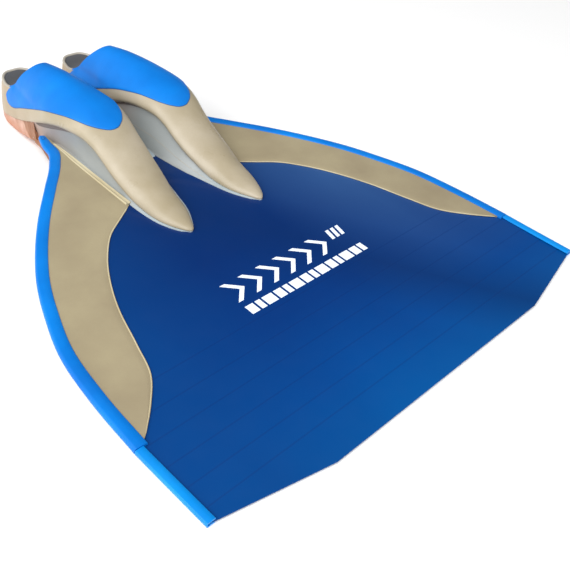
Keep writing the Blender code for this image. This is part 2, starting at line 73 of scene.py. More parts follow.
# Pocket stations: y, middle x, half width, height of the widest line, height of the top.
STATIONS = [
    (0.3660, 0.0665, 0.0035, 0.0202, 0.0226), (0.3780, 0.0672, 0.0108, 0.0212, 0.0274),
    (0.4040, 0.0668, 0.0225, 0.0230, 0.0342), (0.4490, 0.0658, 0.0308, 0.0298, 0.0484),
    (0.4790, 0.0651, 0.0350, 0.0432, 0.0600), (0.5040, 0.0641, 0.0369, 0.0546, 0.0719),
    (0.5300, 0.0634, 0.0378, 0.0695, 0.0877), (0.5450, 0.0637, 0.0385, 0.0790, 0.0970),
    (0.5610, 0.0642, 0.0411, 0.0872, 0.1064), (0.5940, 0.0646, 0.0474, 0.0928, 0.1187),
    (0.6480, 0.0648, 0.0493, 0.0826, 0.1279), (0.7012, 0.0628, 0.0470, 0.0599, 0.1307),
    (0.7550, 0.0603, 0.0428, 0.0373, 0.1247), (0.7970, 0.0583, 0.0401, 0.0255, 0.1185),
    (0.8240, 0.0578, 0.0365, 0.0207, 0.1176), (0.8400, 0.0573, 0.0293, 0.0194, 0.1168),
    (0.8480, 0.0571, 0.0170, 0.0189, 0.1149), (0.8516, 0.0570, 0.0040, 0.0189, 0.1102),
]  # fmt: skip
SOLE = [
    (0.533, 0.0780), (0.560, 0.0765), (0.594, 0.0710), (0.611, 0.0665), (0.636, 0.0580),
    (0.677, 0.0415), (0.733, 0.0190), (0.771, 0.0088), (0.808, 0.0075), (0.832, 0.0090),
    (0.846, 0.0160),
]  # fmt: skip
PANEL_REACH = [
    (0.5468, 2.0), (0.5475, 9.0), (0.5490, 15.0), (0.5521, 22.5), (0.5560, 30.0),
    (0.5610, 37.0), (0.5690, 45.0), (0.5810, 51.5), (0.5926, 56.0), (0.6070, 61.0),
    (0.6210, 65.0), (0.6460, 69.0), (0.6750, 71.5), (0.7110, 73.5), (0.7490, 75.0),
    (0.7780, 77.5), (0.7926, 76.5), (0.8030, 73.0), (0.8085, 66.0),
]  # fmt: skip
HEEL_FLOOR = [
    (0.636, 0.0270), (0.690, 0.0190), (0.720, 0.0115), (0.750, 0.0050), (0.780, 0.0005),
    (0.800, 0.0), (0.830, 0.0010), (0.8505, 0.0080),
]  # fmt: skip
FRONT_FLOOR = [(0.618, 0.0318), (0.640, 0.0285), (0.665, 0.0235), (0.690, 0.0180)]
OPENING = [
    (0.7352, 0.1650), (0.7402, 0.1300), (0.7499, 0.1193), (0.7645, 0.1043), (0.7722, 0.0943),
    (0.7823, 0.0831), (0.7945, 0.0752), (0.8070, 0.0716), (0.8224, 0.0712), (0.8400, 0.0742),
    (0.8620, 0.0775), (0.8800, 0.1650),
]  # fmt: skip
PANEL_REAR = [
    (0.7985, 0.0705), (0.8052, 0.0620), (0.8080, 0.0500), (0.8300, 0.0300), (0.8800, 0.1650),
]  # fmt: skip
TOE_Y, CUP_FRONT_Y = 0.540, 0.703

# Sizes of the visible detail only.
PANEL_LIFT = 0.0016  # the instep panel above the cover
PANEL_ROUND = 0.0026  # radius of its edge
OUTLINE_R = 0.0005
SOCK_INSET, SOCK_T = 0.0030, 0.0016
RIM_INSET, RIM_R = 0.0022, 0.0023
ROLL_TURN = 1.36  # how far the cover's lower edge is rolled under, radians
# How much closer the skirt's foot follows the cover round the nose, by y.
SNUG = ((0.368, 0.400, 0.440, 0.485), (0.88, 0.62, 0.34, 0.0))
SEAM_LINE = [(0.0962, 0.4672), (0.0972, 0.500), (0.0985, 0.560), (0.1005, 0.622), (0.1035, 0.652)]
DIMPLE_AT = (0.1112, 0.6725)
DIMPLE_RINGS = ((0.0030, 0.0010), (0.0031, 0.0052), (0.0026, 0.0055), (0.0021, 0.0047))
CREASE = ((0.781, 0.082), (0.697, 0.085))  # fold beside the ankle, seen from the side
CREASE_DEPTH, CREASE_WIDTH = 0.0026, 0.0060
ROLL = 0.0070  # radius of the cover's rolled-under lower edge
ROUND_BASE = 6.0  # how boxy the heel cup and the sole pad are
# Lower outer edge of the sole pad, by y.
PAD_EDGE = [(0.618, 0.0990), (0.636, 0.1150), (0.6447, 0.1199), (0.6633, 0.1158), (0.6875, 0.1104),
            (0.7094, 0.1072)]  # fmt: skip


# ---- colour ----


def srgb(red, green, blue):
    """A linear colour from the usual 0..255 values."""
    part = np.array([red, green, blue]) / 255
    linear = np.where(part <= 0.04045, part / 12.92, ((part + 0.055) / 1.055) ** 2.4)
    return (*linear.tolist(), 1.0)


class Nodes:
    """A material under construction: makes nodes and joins them in one call."""

    def __init__(self, name, roughness, **sockets):
        self.material = bpy.data.materials.new(name)
        self.material.use_nodes = True
        self.tree = self.material.node_tree
        self.shader = self.tree.nodes["Principled BSDF"]
        self.shader.inputs["Roughness"].default_value = roughness
        for socket, value in sockets.items():
            self.shader.inputs[socket.replace("_", " ")].default_value = value
        self.place = self.add("ShaderNodeTexCoord").outputs["Object"]

    def add(self, kind, wires=(), values=(), **settings):
        node = self.tree.nodes.new(kind)
        for key, value in settings.items():
            setattr(node, key, value)
        for key, value in dict(values).items():
            node.inputs[key].default_value = value
        for key, source in dict(wires).items():
            self.tree.links.new(source, node.inputs[key])
        return node

    def noise(self, scale, detail=3.0, stretch=(1, 1, 1)):
        mapped = self.add("ShaderNodeMapping", {"Vector": self.place}, {"Scale": stretch})
        node = self.add(
            "ShaderNodeTexNoise", {"Vector": mapped.outputs[0]}, {"Scale": scale, "Detail": detail}
        )
        return node.outputs["Fac"]

    def ramp(self, source, stops):
        """Colours along a value; stops are (position, colour)."""
        node = self.add("ShaderNodeValToRGB", {"Fac": source})
        points = node.color_ramp.elements
        while len(points) < len(stops):
            points.new(0.5)
        for point, (position, colour) in zip(points, stops):
            point.position = position
            point.color = colour
        return node.outputs["Color"]

    def spread(self, source, low, high, to_low=0.0, to_high=1.0):
        node = self.add(
            "ShaderNodeMapRange",
            {"Value": source},
            {"From Min": low, "From Max": high, "To Min": to_low, "To Max": to_high},
        )
        return node.outputs["Result"]

    def math(self, operation, first, second=0.0):
        node = self.add("ShaderNodeMath", operation=operation)
        for socket, value in zip(node.inputs, (first, second)):
            if isinstance(value, (int, float)):
                socket.default_value = value
            else:
                self.tree.links.new(value, socket)
        return node.outputs[0]

    def mix(self, share, first, second, blend="MIX"):
        node = self.add("ShaderNodeMix", data_type="RGBA", blend_type=blend)
        for socket, value in ((0, share), (6, first), (7, second)):
            if isinstance(value, (int, float, tuple)):
                node.inputs[socket].default_value = value
            else:
                self.tree.links.new(value, node.inputs[socket])
        return node.outputs[2]

    def fade(self):
        """How far a point is down the side of the pocket, from the mesh."""
        return self.add("ShaderNodeAttribute", attribute_name="fade").outputs["Fac"]

    def axis(self, name):
        """One coordinate of the frame, in metres."""
        return self.add("ShaderNodeSeparateXYZ", {"Vector": self.place}).outputs[name]

    def bump(self, height, distance, strength=1.0, under=None):
        node = self.add(
            "ShaderNodeBump", {"Height": height}, {"Distance": distance, "Strength": strength}
        )
        if under is not None:
            self.tree.links.new(under, node.inputs["Normal"])
        return node.outputs["Normal"]

    def finish(self, colour, normal=None, roughness=None):
        self.tree.links.new(colour, self.shader.inputs["Base Color"])
        if normal is not None:
            self.tree.links.new(normal, self.shader.inputs["Normal"])
        if roughness is not None:
            self.tree.links.new(roughness, self.shader.inputs["Roughness"])
        return self.material


def rubber(
    name, colour, shade, roughness=0.42, grain=0.00012, sheen=0.0, tint=None, gloss=0.45
):
    """Moulded rubber: slow colour drift, fine grain, faint bloom. tint adds colour by place."""
    make = Nodes(name, roughness, Specular_IOR_Level=gloss, Sheen_Weight=sheen)
    drift = make.ramp(make.noise(14, 4), [(0.3, shade), (0.65, colour)])
    base = make.mix(make.spread(make.noise(420, 2), 0.35, 0.75, 0.0, 0.18), drift, shade)
    if tint:
        base = tint(make, base)
    fine = make.bump(make.noise(1500, 2), grain, 0.5)
    wavy = make.bump(make.noise(45, 2), 0.0006, 0.35, fine)
    rough = make.spread(make.noise(30, 3), 0.3, 0.7, roughness - 0.06, roughness + 0.09)
    return make.finish(base, wavy, rough)


def laminate():
    """Clear-coated glass laminate: navy where it is thick, brighter where plies run out, with
    painted sheen towards both sides and a painted dark band across the middle.
    """
    make = Nodes("laminate_gloss", 0.34, Coat_Weight=0.14, Coat_Roughness=0.08)
    make.shader.inputs["Specular IOR Level"].default_value = 0.15
    y, x = make.axis("Y"), make.axis("X")
    base = make.ramp(
        make.spread(y, -0.4411, 0.10),
        [
            (0.0, srgb(0, 78, 146)), (0.16, srgb(0, 66, 136)), (0.36, srgb(0, 50, 116)),
            (0.62, srgb(0, 40, 100)), (1.0, srgb(0, 42, 98)),
        ],
    )  # fmt: skip
    # painted sheen: lighter towards the left side, standing in for a reflection
    left = make.spread(x, -0.10, -0.26, 0.0, 0.7)
    base = make.mix(left, base, srgb(4, 62, 126))
    # painted reflection: lighter towards the right side, near the tips
    right = make.spread(x, 0.05, 0.22, 0.0, 0.8)
    base = make.mix(make.math("MULTIPLY", right, make.spread(y, -0.36, -0.05)), base,
                    srgb(56, 96, 150))  # fmt: skip
    lines = 0.0
    for step in PLY_STEPS_Y:
        away = make.math("ABSOLUTE", make.math("SUBTRACT", y, step - ORIGIN_Y))
        near = make.math("SUBTRACT", 1.0, make.math("DIVIDE", away, 0.0016))
        lines = make.math("ADD", make.math("MAXIMUM", near, 0.0), lines)
    base = make.mix(make.math("MULTIPLY", lines, 0.34), base, srgb(0, 34, 92))
    # painted shade: a darker diagonal band across the middle, where the blade reflects little light
    painted_dark_band = make.math("ABSOLUTE", make.math("SUBTRACT", make.math("ADD", x, make.math(
        "MULTIPLY", y, 0.55)), -0.035))  # fmt: skip
    base = make.mix(make.spread(painted_dark_band, 0.10, 0.0, 0.0, 0.62), base, srgb(0, 36, 88))
    cloud = make.spread(make.noise(5, 3, (1, 0.6, 1)), 0.35, 0.7, 0.0, 0.25)
    base = make.mix(cloud, base, srgb(0, 40, 104))
    weave = []
    for turn in (0.25 * pi, 0.75 * pi):
        mapped = make.add("ShaderNodeMapping", {"Vector": make.place}, {"Rotation": (0, 0, turn)})
        wave = make.add("ShaderNodeTexWave", {"Vector": mapped.outputs[0]}, {"Scale": 210.0})
        weave.append(wave.outputs["Fac"])
    cloth = make.math("MULTIPLY", weave[0], weave[1])
    base = make.mix(make.spread(cloth, 0.2, 1.0, 0.0, 0.07), base, srgb(40, 100, 170))
    wavy = make.bump(make.noise(9, 2, (1, 0.35, 1)), 0.0025, 0.2, make.bump(cloth, 0.00004, 0.4))
    return make.finish(base, wavy, make.spread(make.noise(40, 3), 0.3, 0.7, 0.28, 0.4))


def ink():
    """White screen print, a little worn."""
    make = Nodes("white_print", 0.5)
    worn = make.spread(make.noise(260, 4), 0.30, 0.44, 0.75, 1.0)
    shade = make.mix(worn, srgb(170, 196, 224), srgb(236, 246, 255))
    return make.finish(shade, make.bump(make.noise(900, 2), 0.00005, 0.4))


def skirt_tint(make, base):
    """Grey in front, turning pinkish towards the heel, and darker grey-brown under the cover:
    painted shade.
    """
    y = make.spread(make.axis("Y"), 0.600 - ORIGIN_Y, 0.690 - ORIGIN_Y)
    patch = make.math("MULTIPLY", y, make.spread(make.noise(26, 3), 0.25, 0.75, 0.55, 1.1))
    base = make.mix(patch, base, srgb(172, 144, 131))
    # painted shade: darker grey-brown high on the skirt, under the cover's rolled edge
    return make.mix(make.math("MULTIPLY", make.fade(), 0.45), base, srgb(133, 122, 105))


def heel_tint(make, base):
    """Natural latex: painted shade (dark brown) in the fold at the front of the heel cup, orange
    low down.
    """
    y, z = make.axis("Y"), make.axis("Z")
    blotch = make.spread(make.noise(48, 4), 0.35, 0.7, 0.1, 0.9)
    base = make.mix(blotch, base, srgb(203, 166, 147))
    low = make.math("MULTIPLY", make.spread(z, 0.030, 0.004), 0.8)
    base = make.mix(low, base, srgb(178, 103, 61))
    # painted shade: dark brown in the fold, where the latex lies in shadow
    slant = make.math("ADD", y, make.math("MULTIPLY", z, -0.9))
    fold = make.spread(slant, 0.712 - ORIGIN_Y, 0.708 - ORIGIN_Y)
    rings = make.spread(make.noise(150, 3, (1, 1, 0.35)), 0.3, 0.7, 0.7, 1.0)
    return make.mix(make.math("MULTIPLY", fold, rings), base, srgb(138, 91, 60))


def cover_tint(make, base):
    """Warmer low down by the heel, and turning to a dark grey-brown under the rolled edge: partly
    the blend to the skirt's grey, partly painted shade.
    """
    y = make.spread(make.axis("Y"), 0.66 - ORIGIN_Y, 0.80 - ORIGIN_Y, 0.0, 0.55)
    base = make.mix(y, base, srgb(166, 140, 108))
    # painted shade under the rolled edge, mixed with the turn to the skirt's grey
    return make.mix(make.fade(), base, srgb(131, 122, 103))


def sock_tint(make, base):
    # painted shade: darker deeper inside the pocket, below the ankle opening
    painted_deep_shade = make.spread(make.axis("Z"), 0.082, 0.050)
    base = make.mix(painted_deep_shade, base, srgb(42, 39, 38))
    front = make.spread(make.axis("Y"), 0.800 - ORIGIN_Y, 0.76 - ORIGIN_Y)
    warm = make.math("MULTIPLY", front, 0.6)
    return make.mix(warm, base, srgb(98, 75, 60))


def materials():
    beige, dark_beige = srgb(174, 163, 142), srgb(156, 144, 118)
    return {
        "blade": laminate(),
        "print": ink(),
        "rail": rubber("rail_blue", srgb(2, 122, 212), srgb(0, 104, 192), 0.44, gloss=0.22),
        "tip": rubber("tip_blue", srgb(8, 144, 224), srgb(0, 126, 210), 0.36, gloss=0.3),
        "panel": rubber("panel_blue", srgb(2, 121, 212), srgb(0, 108, 196), 0.48, gloss=0.2),
        "outline": rubber("panel_outline", srgb(26, 80, 140), srgb(35, 74, 114), 0.55),
        "wing": rubber("wing_beige", srgb(158, 146, 116), srgb(144, 131, 104), 0.62, 0.0002, 0.1),
        # the beads' lighter cream is partly their own colour, partly a painted highlight along the
        # raised edges
        "bead": rubber("bead_cream_and_highlight", srgb(194, 184, 154), srgb(180, 166, 131), 0.5),
        "cover": rubber("cover_beige", beige, dark_beige, 0.32, 0.00006, 0.0, cover_tint),
        "rim": rubber("rim_beige", srgb(180, 175, 163), srgb(158, 150, 138), 0.45),
        "skirt": rubber(
            "skirt_grey", srgb(176, 188, 194), srgb(160, 174, 180), 0.45, 0.0001, 0.0, skirt_tint
        ),
        "latex": rubber(
            "natural_latex", srgb(176, 128, 104), srgb(160, 106, 76), 0.4, 0.0001, 0.0, heel_tint
        ),
        "sock": rubber(
            "sock_latex_dark", srgb(74, 78, 84), srgb(62, 64, 70), 0.75, 0.0003, 0.2, sock_tint
        ),
        "foam": rubber("core_foam", srgb(154, 154, 147), srgb(131, 131, 124), 0.9, 0.0006),
        "plate": rubber("plate_dark", srgb(35, 35, 37), srgb(23, 23, 24), 0.35),
    }


# ---- geometry ----


def curve(table, at):
    """Smooth curve through rows of (position, values), read at the given positions."""
    rows = np.array(table, float)
    x, v = rows[:, 0], rows[:, 1:]
    slope = np.gradient(v, x, axis=0)
    at = np.clip(np.atleast_1d(at), x[0], x[-1])
    i = np.clip(np.searchsorted(x, at) - 1, 0, len(x) - 2)
    h = (x[i + 1] - x[i])[:, None]
    s = ((at - x[i]) / (x[i + 1] - x[i]))[:, None]
    return (
        v[i] * (1 + 2 * s) * (1 - s) ** 2
        + slope[i] * h * s * (1 - s) ** 2
        + v[i + 1] * s**2 * (3 - 2 * s)
        + slope[i + 1] * h * s**2 * (s - 1)
    )


def path(points, count):
    """Evenly spaced points on a smooth line through the given points."""
    points = np.array(points, float)
    run = np.concatenate([[0], np.cumsum(np.linalg.norm(np.diff(points, axis=0), axis=1))])
    return curve(np.column_stack([run, points]), np.linspace(0, run[-1], count))


def offset(line, inward):
    """The plan line moved to its left by inward."""
    along = np.gradient(line, axis=0)
    along /= np.linalg.norm(along, axis=1)[:, None]
    return line + np.column_stack([-along[:, 1], along[:, 0]]) * inward


def rise(y):
    """Height of the middle of the blade."""
    y = np.maximum(np.asarray(y, float), 0)
    return REST_Z + RISE_SLOPE * y + RISE_BEND * y**2


def blade_top(y):
    return rise(y) + BLADE_T / 2


def station_rows(start, end, count):
    """Stations that crowd together at both ends."""
    t = (1 - np.cos(np.linspace(0, pi, count))) / 2
    return start + (end - start) * t


def tidy_mesh(mesh, sharp):
    edit = bmesh.new()
    edit.from_mesh(mesh)
    bmesh.ops.remove_doubles(edit, verts=edit.verts, dist=2e-6)
    bmesh.ops.dissolve_degenerate(edit, edges=edit.edges, dist=1e-6)
    bmesh.ops.recalc_face_normals(edit, faces=edit.faces)
    edit.to_mesh(mesh)
    edit.free()
    mesh.shade_smooth()
    mesh.set_sharp_from_angle(angle=sharp * pi / 180)


def piece(name, side, verts, faces, material, nodes=(), sharp=40):
    """A visible piece in the row frame, riding on the fin; side -1 turns it over to the left."""
    suffix = {1: "_r", -1: "_l", 0: ""}[side]
    verts = (np.asarray(verts, float) - (0, ORIGIN_Y, 0)) * (side or 1, 1, 1)
    mesh = bpy.data.meshes.new(name + suffix)
    mesh.from_pydata(verts.tolist(), [], [tuple(map(int, face)) for face in faces])
    tidy_mesh(mesh, sharp)
    mesh.materials.append(material)
    obj = bpy.data.objects.new(name + suffix, mesh)
    bpy.context.scene.collection.objects.link(obj)
    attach(obj, "root")
    long = {1: "_right", -1: "_left", 0: ""}[side]
    if nodes:
        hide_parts(*[node + long for node in nodes])
    return obj


def slab_faces(rows, columns, caps=(False, False)):
    """Faces of a closed piece between two grids; a capped end is walled across."""
    low = rows * columns
    faces = []

    def at(i, j):
        return i * columns + j

    for i in range(rows - 1):
        for j in range(columns - 1):
            cell = [at(i, j), at(i, j + 1), at(i + 1, j + 1), at(i + 1, j)]
            faces += [cell, [low + v for v in reversed(cell)]]
    edges = [(at(i, j), at(i + 1, j)) for j in (0, columns - 1) for i in range(rows - 1)]
    for i, capped in zip((0, rows - 1), caps):
        if capped:
            end = [at(i, j) for j in range(columns)]
            faces += [end, [low + v for v in reversed(end)]]
            edges.append((end[-1], end[0]))
        else:
            edges += [(at(i, j), at(i, j + 1)) for j in range(columns - 1)]
    return faces + [[a, b, low + b, low + a] for a, b in edges]


def slab(name, side, top, bottom, material, nodes=(), caps=(False, False), sharp=40):
    verts = np.concatenate([top.reshape(-1, 3), bottom.reshape(-1, 3)])
    faces = slab_faces(*top.shape[:2], caps)
    return piece(name, side, verts, faces, material, nodes, sharp)


def ring_faces(count, size, closed=False):
    last = count if closed else count - 1
    faces = [
        [
            i * size + j, i * size + (j + 1) % size,
            (i + 1) % count * size + (j + 1) % size, (i + 1) % count * size + j,
        ]
        for i in range(last)
        for j in range(size)
    ]  # fmt: skip
    if not closed:
        faces += [list(range(size)), [(count - 1) * size + j for j in range(size)]]
    return faces


def loft(name, side, rings, material, nodes=(), sharp=40):
    faces = ring_faces(*rings.shape[:2])
    return piece(name, side, rings.reshape(-1, 3), faces, material, nodes, sharp)


def tube(name, side, line, radius, material, closed=False, flat=1.0, nodes=()):
    """A bead of round section along a line of points, with rounded ends unless it is closed."""
    line = np.asarray(line, float)
    size = 10
    ahead = np.roll(line, -1, 0) - np.roll(line, 1, 0) if closed else np.gradient(line, axis=0)
    ahead /= np.linalg.norm(ahead, axis=1)[:, None]
    across = np.cross(ahead, (0, 0, 1.0))
    across /= np.maximum(np.linalg.norm(across, axis=1), 1e-9)[:, None]
    lift = np.cross(across, ahead)
    swell = np.ones(len(line))
    if not closed:
        run = np.concatenate([[0], np.cumsum(np.linalg.norm(np.diff(line, axis=0), axis=1))])
        to_end = np.minimum(run, run[-1] - run)
        swell = np.sqrt(1 - (1 - np.clip(to_end / radius, 0.03, 1)) ** 2)
    turn = np.linspace(0, 2 * pi, size, endpoint=False)
    rings = line[:, None] + (radius * swell)[:, None, None] * (
        np.cos(turn)[None, :, None] * across[:, None]
        + flat * np.sin(turn)[None, :, None] * lift[:, None]
    )
    faces = ring_faces(len(line), size, closed)
    return piece(name, side, rings.reshape(-1, 3), faces, material, nodes, 60)


def baked(obj, tool):
    """Cuts obj with tool and keeps the result as obj's own mesh."""
    modifier = obj.modifiers.new("cut", "BOOLEAN")
    modifier.operation = "DIFFERENCE"
    modifier.solver = "EXACT"
    modifier.object = tool
    bpy.context.view_layer.update()
    graph = bpy.context.evaluated_depsgraph_get()
    mesh = bpy.data.meshes.new_from_object(obj.evaluated_get(graph))
    obj.modifiers.clear()
    obj.data = mesh
    tidy_mesh(mesh, 40)
    return obj


def side_tool(side, outline):
    """A cutter for everything above a line seen from the side, for one pocket."""
    line = path(outline, 120)
    rings = np.array([[(x, y, z) for y, z in line] for x in (-0.005, 0.125)])
    verts = (rings.reshape(-1, 3) - (0, ORIGIN_Y, 0)) * (side, 1, 1)
    mesh = bpy.data.meshes.new("side_tool")
    mesh.from_pydata(verts.tolist(), [], ring_faces(*rings.shape[:2]))
    tidy_mesh(mesh, 40)
    obj = bpy.data.objects.new("side_tool", mesh)
    bpy.context.scene.collection.objects.link(obj)
    return obj


# ---- blade and edge pieces ----


def rail_line(count):
    line = path([p for p in OUTLINE if p[1] > 0.1], count)
    line[0, 1] = RAIL_TAIL_Y
    return line


def ply_drop(y):
    """How much lower the top is where plies have run out, with each step eased over 1 mm."""
    ease = [np.clip((step + 0.0005 - y) / 0.001, 0, 1) for step in PLY_STEPS_Y]
    return PLY_STEP * sum(t * t * (3 - 2 * t) for t in ease)


def blade(paint):
    """One laminate from tip to tip, stepped towards the trailing edge."""
    edge = offset(path(OUTLINE, 120), RAIL_W - SLOT_DEPTH + 0.0008)
    steps = [y + d for y in PLY_STEPS_Y for d in (-0.0006, -0.0002, 0.0002, 0.0006)]
    ys = np.unique([-TRAIL_DROP, -0.016, 0.0, *steps, *np.linspace(0.004, BLADE_FRONT_Y, 70)])
    half = np.interp(ys, edge[:, 1], edge[:, 0])
    half = np.where(ys < RAIL_TAIL_Y, np.minimum(half, BLADE_TIP_HALF), half)
    corner = ys < 0
    half[corner] = TRAIL_HALF + (BLADE_TIP_HALF - TRAIL_HALF) * (1 + ys[corner] / TRAIL_DROP)
    across = np.linspace(-1, 1, 61)
    x = half[:, None] * across
    y = np.repeat(ys[:, None], 61, 1)
    top = np.dstack([x, y, blade_top(y) - ply_drop(y)])
    bottom = np.dstack([x, y, rise(y) - BLADE_T / 2])
    slab("blade_sheet", 0, top, bottom, paint["blade"], ["blade"], sharp=30)


def bars(name, shapes, paint):
    """Flat printed shapes on the blade; each is a list of plan corners."""
    verts, faces = [], []
    for shape in shapes:
        shape = np.array(shape, float)
        for up in (0.00018, -0.0002):
            verts += [(x, y, float(blade_top(y)) + up) for x, y in shape]
        first, size = len(verts) - 2 * len(shape), len(shape)
        faces += [[first + k for k in range(size)], [first + size + k for k in range(size)][::-1]]
        faces += [
            [first + k, first + (k + 1) % size, first + size + (k + 1) % size, first + size + k]
            for k in range(size)
        ]
    piece(name, 0, verts, faces, paint["print"], sharp=20)


def chevron(x, y, width, height, stroke):
    half = height / 2
    return [
        (x, y), (x + stroke, y), (x + width, y + half), (x + stroke, y + height),
        (x, y + height), (x + width - stroke, y + half),
    ]  # fmt: skip


def printed_marks(paint):
    """Generic white stripes where such a fin carries its print."""
    first_x, pitch = -0.112, 0.0315
    big = [chevron(first_x + pitch * k, 0.2185, 0.027, 0.038, 0.0085) for k in range(6)]
    bars("print_chevrons", big, paint)
    short = [
        [(x, 0.2360), (x + 0.006, 0.2360), (x + 0.011, 0.2560), (x + 0.005, 0.2560)]
        for x in (0.084, 0.094, 0.104)
    ]
    bars("print_bars", short, paint)
    rule = []
    x = -0.112
    for k in range(14):
        wide = (0.013, 0.0085, 0.017)[k % 3]
        rule.append([(x, 0.1915), (x + wide, 0.1915), (x + wide, 0.2075), (x, 0.2075)])
        x += wide + 0.0036
    bars("print_rule", rule, paint)


def sweep(name, side, line, sections, material, nodes):
    """Carries one cut (inward, up) for each point of a plan line along the blade."""
    rings = []
    for inward, up in np.array(sections).transpose(1, 2, 0):
        plan = offset(line, inward[:, None])
        rings.append(np.column_stack([plan, rise(plan[:, 1]) + up]))
    loft(name, side, np.array(rings).transpose(1, 0, 2), material, nodes, 50)


def rail_section(width, height, round_in, slot, slot_half, crown=0.0):
    """Half-round outside, slightly crowned on top, with a slot for the blade's edge."""
    h = height / 2
    turn = np.linspace(0.15, pi / 2, 6)
    upper = [(round_in * (1 - cos(t)), h * sin(t)) for t in turn]
    upper += [(width * 0.5, h + crown), (width - 0.0012, h), (width, h - 0.0010)]
    upper += [(width, slot_half), (width - slot, slot_half)]
    return np.array(upper + [(u, -w) for u, w in reversed(upper)])


def edge_rail(side, paint):
    """Blue rubber edging that grips the blade's leading edge."""
    line = rail_line(110)
    run = np.concatenate([[0], np.cumsum(np.linalg.norm(np.diff(line, axis=0), axis=1))])
    to_end = run[-1] - run
    sections = []
    for y, left in zip(line[:, 1], to_end):
        slot = SLOT_DEPTH * np.interp(y, (0.632, 0.646), (1.0, 0.0)) + 0.00005
        section = rail_section(RAIL_W, RAIL_H, 0.0042, slot, BLADE_T / 2 + 0.0002, 0.0002)
        slim = np.interp(y, *RAIL_SLIM)
        end = np.sqrt(1 - (1 - np.clip(left / 0.007, 0.02, 1)) ** 2)
        middle = RAIL_W * 0.42 * slim
        wide = middle + (section[:, 0] * slim - middle) * end
        sections.append(np.column_stack([wide, section[:, 1] * (0.25 + 0.75 * end)]))
    sweep("rail", side, line, sections, paint["rail"], ["edge_rail"])


def rail_dimple(side, paint):
    """Round recess in the rail's end beside the heel."""
    turn = np.linspace(0, 2 * pi, 32, endpoint=False)
    x, y = DIMPLE_AT
    rings = [
        [(x + r * cos(a), y + 1.25 * r * sin(a), float(rise(y)) + up) for a in turn]
        for r, up in DIMPLE_RINGS
    ]
    loft("rail_dimple", side, np.array(rings), paint["outline"])


def tip_rail(side, paint):
    """Narrower lighter edging out to the tip, hollow where the blade stops short of it."""
    line = path([(0.3505, 0.0), (0.3509, RAIL_TAIL_Y - 0.0008)], 24)
    section = rail_section(0.0120, 0.0070, 0.0018, 0.0104, BLADE_T / 2 + 0.0003)
    sections = [section] * len(line)
    sweep("tip_edging", side, line, sections, paint["tip"], ["tip_rail"])


def wing_grid(up, count=90, columns=16):
    rail = rail_line(count)
    slim = np.interp(rail[:, 1], *RAIL_SLIM)
    outer = offset(rail, (RAIL_W * slim - 0.0002)[:, None])
    part = int(count * 0.71)
    inner = np.concatenate([path(WING_EDGE, part)[::-1], path(WING_SIDE, count - part + 1)[1:]])
    outer[0] = inner[0] + (0.0008, 0.0)
    outer[-1] = inner[-1] + (0.0008, 0.0)
    mix = np.linspace(0, 1, columns)[None, :, None]
    flat = outer[:, None] * (1 - mix) + inner[:, None] * mix
    return np.dstack([flat, rise(flat[..., 1]) + up]), inner


def wing(side, upper, paint):
    """Rubber wing on one face of the blade, with a soft raised border along its inner edge."""
    sign = 1 if upper else -1
    near = BLADE_T / 2 + 0.0001
    top, inner = wing_grid(sign * (near + WING_T))
    low, _ = wing_grid(sign * near)
    share = np.linspace(0, 1, top.shape[1])
    thin = 1 - 0.55 * np.exp(-((share - 1) / 0.03) ** 2)
    top[..., 2] = low[..., 2] + (top[..., 2] - low[..., 2]) * thin
    name, node = ("wing_top", "wing_top") if upper else ("wing_low", "wing_under")
    slab(name, side, top, low, paint["wing"], [node])
    cut = int(len(inner) * 0.70)
    border = np.column_stack([inner[:cut], rise(inner[:cut, 1]) + sign * (near + 0.0010)])
    tube(name + "_bead", side, border, 0.0010, paint["bead"])


def seam_strip(side, paint):
    """Cream strip between wing and skirt: two beads, with close cross-stitching in front."""
    line = path(SEAM_LINE, 300)
    profile = [
        (0.0, 0.0), (0.0003, 0.0011), (0.0012, 0.0019), (0.0022, 0.0012), (0.0034, 0.0008),
        (0.0060, 0.0008), (0.0066, 0.0013), (0.0075, 0.0018), (0.0084, 0.0012), (0.0088, 0.0),
    ]  # fmt: skip
    over = BLADE_T / 2 + WING_T + 0.0001
    top, low = [], []
    for x, y in line:
        stitched = np.clip((y - 0.478) / 0.006, 0, 1) * np.clip((0.556 - y) / 0.02, 0, 1)
        narrow = np.interp(y, (0.467, 0.60, 0.652), (1.0, 0.85, 0.30))
        row = []
        for u, w in profile:
            ridge = 0.0006 * stitched * max(sin(2 * pi * y / 0.0038), 0) * (0.002 < u < 0.007)
            row.append((x + u * narrow, y, float(rise(y)) + over + w + ridge))
        top.append(row)
        low.append([(px, py, float(rise(py)) + over - 0.0006) for px, py, _ in row])
    slab("seam", side, np.array(top), np.array(low), paint["bead"], ["seam_strip"])


# ---- foot pocket ----


def crease(points):
    """The fold beside the ankle, as a push towards the foot."""
    (y0, z0), (y1, z1) = CREASE
    along = np.array([y1 - y0, z1 - z0])
    away = points[..., 1:] - (y0, z0)
    share = np.clip((away @ along) / (along @ along), 0, 1)
    gap = np.linalg.norm(away - share[..., None] * along, axis=-1)
    fade = 1 - 0.6 * share
    return CREASE_DEPTH * fade * np.exp(-((gap / CREASE_WIDTH) ** 2))


